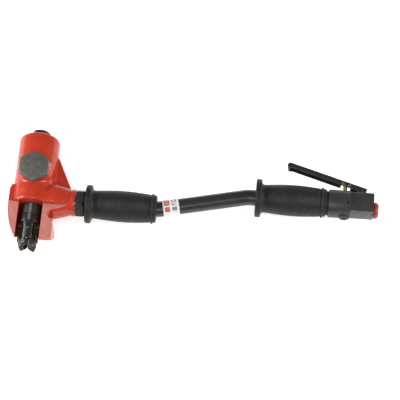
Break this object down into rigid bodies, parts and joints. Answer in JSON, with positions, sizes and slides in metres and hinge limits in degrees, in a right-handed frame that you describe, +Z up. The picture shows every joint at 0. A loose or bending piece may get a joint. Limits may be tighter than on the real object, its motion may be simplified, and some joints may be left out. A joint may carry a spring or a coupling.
{
  "type": "pneumatic scabbling hammer",
  "caption": "Hand-held pneumatic scabbling hammer: red cast head with an open guard and a toothed bit, bent handle tube, rubber grips, lever throttle and capped air inlet.",
  "frame": {"origin": "on the flat back of the head, under the crossing of the barrel axis and the front handle axis", "axes": "+X along the handle towards the air inlet, +Y along the barrel towards the end cap, so the bit points to -Y, +Z up, away from the surface that the tool lies on"},
  "size_m": [0.5933, 0.208, 0.0758],
  "materials": {
    "red_enamel": "gloss red enamel over a cast iron head",
    "black_steel": "oil-blackened steel",
    "phosphate_steel": "dark grey phosphated steel, matt",
    "bright_steel": "machined steel",
    "cast_ring": "machined cast iron",
    "bit_steel": "forged tool steel, blackened",
    "tube_enamel": "semi-gloss black enamel",
    "label_print": "printed white film with a red block and grey marks",
    "grip_rubber": "black rubber, satin, fine ribs",
    "seal_rubber": "black rubber",
    "body_black": "satin black anodised or painted metal",
    "lever_enamel": "gloss black pressed steel",
    "brass": "turned brass",
    "cap_red": "red plastic"
  },
  "bodies": {
    "tool_frame": {"head_casting": "red_enamel", "end_cap": "black_steel", "end_cap_seal": "seal_rubber", "valve_chest_plug": "phosphate_steel", "plug_seal": "seal_rubber", "valve_seat": "bright_steel", "cylinder_liner": "bright_steel", "keeper_pin": "bright_steel", "lock_nut": "black_steel", "tube_adapter": "bright_steel", "handle_tube": "tube_enamel", "label_band": "label_print", "spacer_ring": "seal_rubber", "front_grip": "grip_rubber", "rear_grip": "grip_rubber", "throttle_body": "body_black", "lever_pivot_pin": "black_steel", "push_pin_bush": "black_steel", "throttle_spring": "bright_steel", "valve_bottom_plug": "black_steel", "side_screw": "black_steel", "inlet_bushing": "bright_steel"},
    "hammer": {"piston": "black_steel", "piston_ring_1": "cast_ring", "piston_ring_2": "cast_ring", "scabbling_bit": "bit_steel"},
    "distribution_plate": {"valve_plate": "bright_steel"},
    "lever": {"throttle_lever": "lever_enamel"},
    "throttle_valve": {"push_pin": "brass", "throttle_poppet": "brass", "throttle_seal": "seal_rubber"},
    "dust_cap": {"inlet_cap": "cap_red"}
  },
  "joints": [
    {"name": "lever_squeeze", "type": "hinge", "parent": "tool_frame", "child": "lever", "pos_m": [0.528, 0.0555, 0.031], "axis": [0, 0, 1], "range_deg": [0, 11], "stiffness_Nm_per_rad": 1.5, "springref_deg": -5.73},
    {"name": "throttle_valve_travel", "type": "slide", "parent": "tool_frame", "child": "throttle_valve", "axis": [0, -1, 0], "range_m": [0, 0.0058], "stiffness_N_per_m": 900, "springref_m": -0.001, "deforming": ["throttle_spring"]},
    {"name": "piston_stroke", "type": "slide", "parent": "tool_frame", "child": "hammer", "axis": [0, -1, 0], "range_m": [-0.014, 0.01]},
    {"name": "plate_flutter", "type": "slide", "parent": "tool_frame", "child": "distribution_plate", "axis": [0, 0, 1], "range_m": [0, 0.0012]},
    {"name": "dust_cap_pull", "type": "slide", "parent": "tool_frame", "child": "dust_cap", "axis": [1, 0, 0], "range_m": [0, 0.06]}
  ],
  "couplings": [
    {"joint": "throttle_valve_travel", "follows": "lever_squeeze", "m_per_rad": 0.0295}
  ]
}
